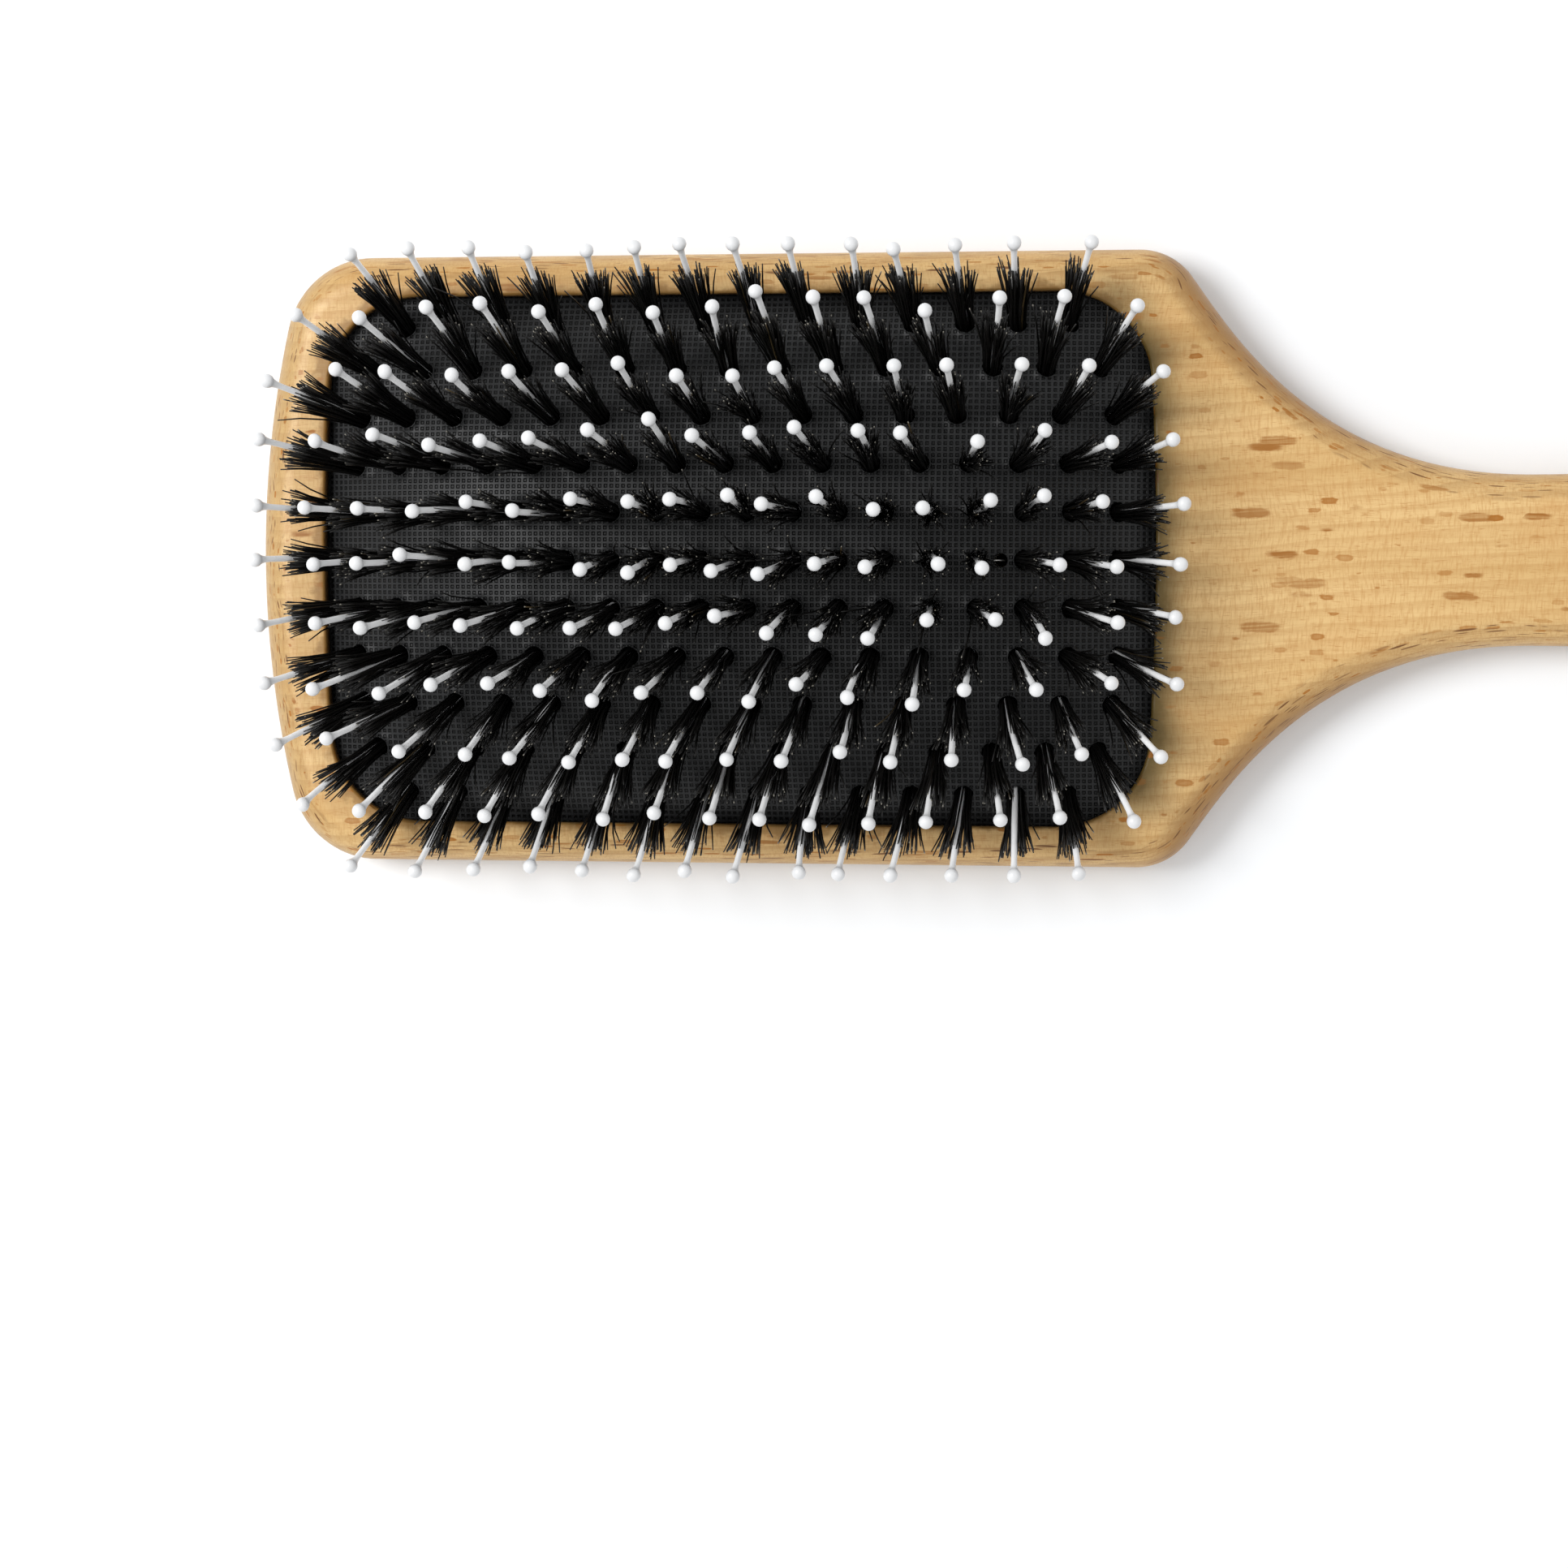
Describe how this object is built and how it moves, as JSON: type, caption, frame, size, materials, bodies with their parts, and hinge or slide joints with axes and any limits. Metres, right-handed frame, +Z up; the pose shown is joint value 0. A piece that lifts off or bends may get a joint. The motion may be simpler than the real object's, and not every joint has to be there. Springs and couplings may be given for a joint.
{
  "type": "hairbrush",
  "caption": "Wooden paddle hairbrush with a domed rubber air cushion holding rows of dark bristle tufts and white ball-tipped pins.",
  "frame": {"origin": "on the surface the brush lies on, under the middle of its length", "axes": "+X from the head towards the handle, +Y across the head, +Z up out of the pad; the brush lies on its flat back"},
  "size_m": [0.2484, 0.082, 0.0386],
  "materials": {
    "beech": "satin lacquer",
    "cushion_rubber": "matte, finely embossed",
    "backing_canvas": "plain weave",
    "bristle": "natural bristle, slightly glossy",
    "pin_nylon": "semi-gloss nylon"
  },
  "bodies": {
    "paddle": {"beech_paddle": "beech", "rubber_cushion": "cushion_rubber"},
    "cushion_core": {"backing_sheet": "backing_canvas"},
    "row_01": {"bristle_row_01": "bristle", "pin_row_01": "pin_nylon"},
    "row_02": {"bristle_row_02": "bristle", "pin_row_02": "pin_nylon"},
    "row_03": {"bristle_row_03": "bristle", "pin_row_03": "pin_nylon"},
    "row_04": {"bristle_row_04": "bristle", "pin_row_04": "pin_nylon"},
    "row_05": {"bristle_row_05": "bristle", "pin_row_05": "pin_nylon"},
    "row_06": {"bristle_row_06": "bristle", "pin_row_06": "pin_nylon"},
    "row_07": {"bristle_row_07": "bristle", "pin_row_07": "pin_nylon"},
    "row_08": {"bristle_row_08": "bristle", "pin_row_08": "pin_nylon"},
    "row_09": {"bristle_row_09": "bristle", "pin_row_09": "pin_nylon"},
    "row_10": {"bristle_row_10": "bristle", "pin_row_10": "pin_nylon"},
    "row_11": {"bristle_row_11": "bristle", "pin_row_11": "pin_nylon"}
  },
  "joints": [
    {"name": "cushion_press", "type": "slide", "parent": "paddle", "child": "cushion_core", "axis": [0, 0, 1], "range_m": [-0.0018, 0], "stiffness_N_per_m": 3000, "deforming": ["rubber_cushion"]},
    {"name": "row_01_tilt", "type": "hinge", "parent": "paddle", "child": "row_01", "pos_m": [-0.0588, -0.031, 0.01102], "axis": [1, 0, 0], "range_deg": [-8, 8], "stiffness_Nm_per_rad": 0.03},
    {"name": "row_02_tilt", "type": "hinge", "parent": "cushion_core", "child": "row_02", "pos_m": [-0.0588, -0.0251, 0.01408], "axis": [1, 0, 0], "range_deg": [-8, 8], "stiffness_Nm_per_rad": 0.03},
    {"name": "row_03_tilt", "type": "hinge", "parent": "cushion_core", "child": "row_03", "pos_m": [-0.0588, -0.0189, 0.01642], "axis": [1, 0, 0], "range_deg": [-8, 8], "stiffness_Nm_per_rad": 0.03},
    {"name": "row_04_tilt", "type": "hinge", "parent": "cushion_core", "child": "row_04", "pos_m": [-0.0588, -0.0126, 0.01801], "axis": [1, 0, 0], "range_deg": [-8, 8], "stiffness_Nm_per_rad": 0.03},
    {"name": "row_05_tilt", "type": "hinge", "parent": "cushion_core", "child": "row_05", "pos_m": [-0.0588, -0.0063, 0.0189], "axis": [1, 0, 0], "range_deg": [-8, 8], "stiffness_Nm_per_rad": 0.03},
    {"name": "row_06_tilt", "type": "hinge", "parent": "cushion_core", "child": "row_06", "pos_m": [-0.0588, 0, 0.01914], "axis": [1, 0, 0], "range_deg": [-8, 8], "stiffness_Nm_per_rad": 0.03},
    {"name": "row_07_tilt", "type": "hinge", "parent": "cushion_core", "child": "row_07", "pos_m": [-0.0588, 0.0063, 0.0189], "axis": [1, 0, 0], "range_deg": [-8, 8], "stiffness_Nm_per_rad": 0.03},
    {"name": "row_08_tilt", "type": "hinge", "parent": "cushion_core", "child": "row_08", "pos_m": [-0.0588, 0.0126, 0.01801], "axis": [1, 0, 0], "range_deg": [-8, 8], "stiffness_Nm_per_rad": 0.03},
    {"name": "row_09_tilt", "type": "hinge", "parent": "cushion_core", "child": "row_09", "pos_m": [-0.0588, 0.0189, 0.01642], "axis": [1, 0, 0], "range_deg": [-8, 8], "stiffness_Nm_per_rad": 0.03},
    {"name": "row_10_tilt", "type": "hinge", "parent": "cushion_core", "child": "row_10", "pos_m": [-0.0588, 0.0251, 0.01408], "axis": [1, 0, 0], "range_deg": [-8, 8], "stiffness_Nm_per_rad": 0.03},
    {"name": "row_11_tilt", "type": "hinge", "parent": "paddle", "child": "row_11", "pos_m": [-0.0588, 0.031, 0.01102], "axis": [1, 0, 0], "range_deg": [-8, 8], "stiffness_Nm_per_rad": 0.03}
  ]
}
